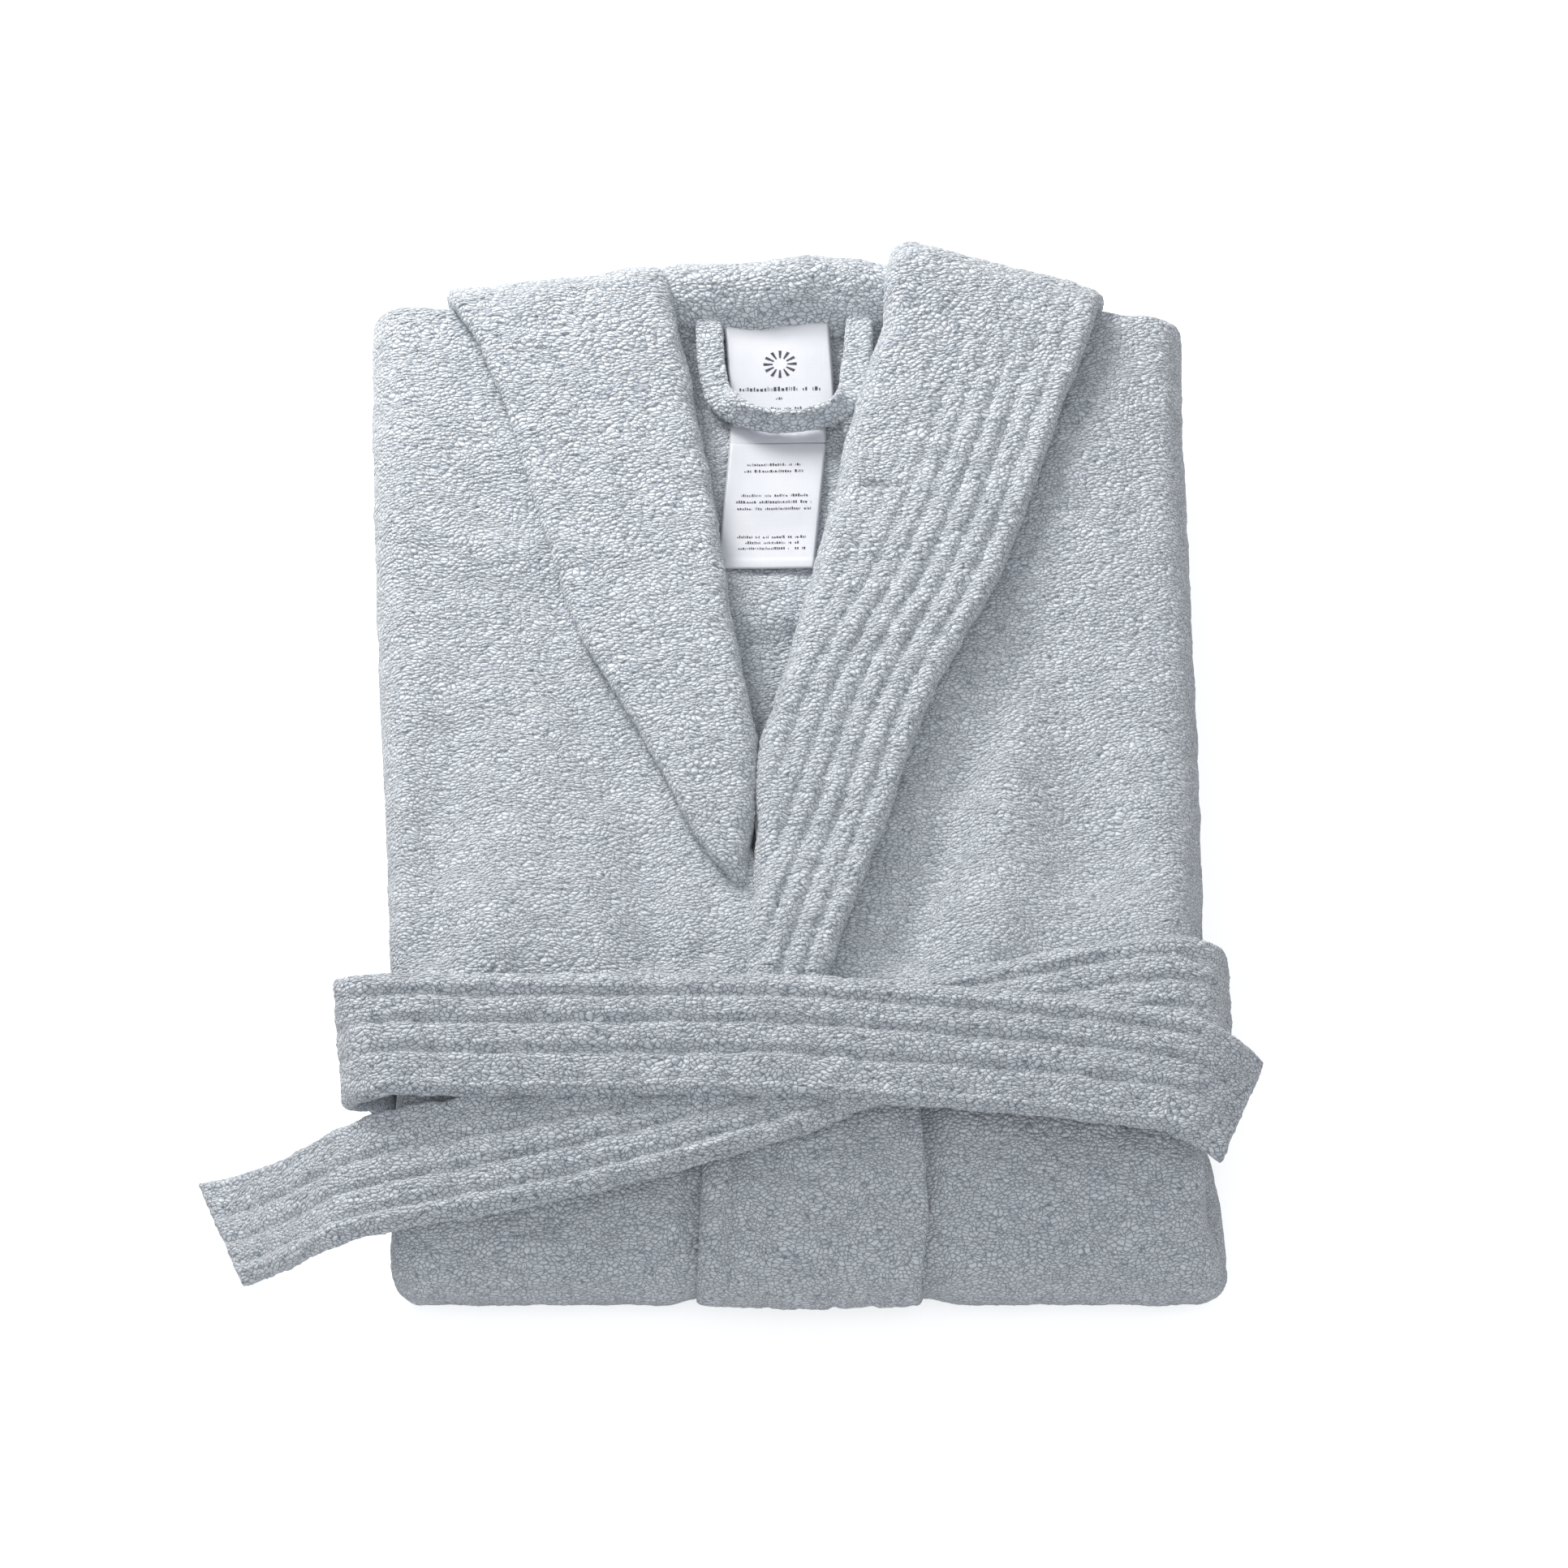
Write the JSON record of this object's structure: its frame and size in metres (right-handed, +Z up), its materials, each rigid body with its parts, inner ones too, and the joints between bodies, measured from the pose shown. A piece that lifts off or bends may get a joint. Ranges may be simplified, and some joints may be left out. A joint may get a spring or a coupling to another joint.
{
  "type": "folded bathrobe",
  "caption": "Terry bathrobe folded flat for a shelf, shawl collar and lapels on top, wrapped once by its own belt, with a hanging loop and neck labels.",
  "frame": {"origin": "centre of the body's underside, where the bundle rests on the shelf", "axes": "+X to the wearer's left, across the robe; +Y from the folded waist to the neck; +Z up, out of the chest"},
  "size_m": [0.5227, 0.5866, 0.1124],
  "materials": {
    "terry": "cotton loop pile, pale cool white",
    "satin_label": "woven satin, white with small grey print"
  },
  "bodies": {
    "robe": {"front_panel_left": "terry", "front_panel_right": "terry", "back_panel": "terry", "collar_band_left": "terry", "collar_band_right": "terry", "back_neck_collar": "terry", "sleeve_left": "terry", "sleeve_right": "terry", "cuff_left": "terry", "cuff_right": "terry", "pocket_left": "terry", "pocket_right": "terry", "belt_carrier_left": "terry", "belt_carrier_right": "terry", "belt_wrap": "terry", "brand_label": "satin_label", "care_label_tab": "satin_label"},
    "loop": {"hanging_loop": "terry"},
    "care_flap": {"care_label": "satin_label"},
    "tail": {"belt_tail": "terry"},
    "belt_free_end": {"belt_end": "terry"}
  },
  "joints": [
    {"name": "hanging_loop_flip", "type": "hinge", "parent": "robe", "child": "loop", "pos_m": [-0.002, 0.276, 0.0952], "axis": [-1, 0, 0], "range_deg": [0, 80]},
    {"name": "care_label_lift", "type": "hinge", "parent": "robe", "child": "care_flap", "pos_m": [-0.005, 0.2, 0.0878], "axis": [-1, 0, 0], "range_deg": [0, 80]},
    {"name": "belt_tail_lift", "type": "hinge", "parent": "robe", "child": "tail", "pos_m": [-0.185, -0.226, 0.1055], "axis": [0, 1, 0], "range_deg": [0, 100]},
    {"name": "belt_end_lift", "type": "hinge", "parent": "robe", "child": "belt_free_end", "pos_m": [0.1925, -0.184, 0.1124], "axis": [0, -1, 0], "range_deg": [0, 100]}
  ]
}
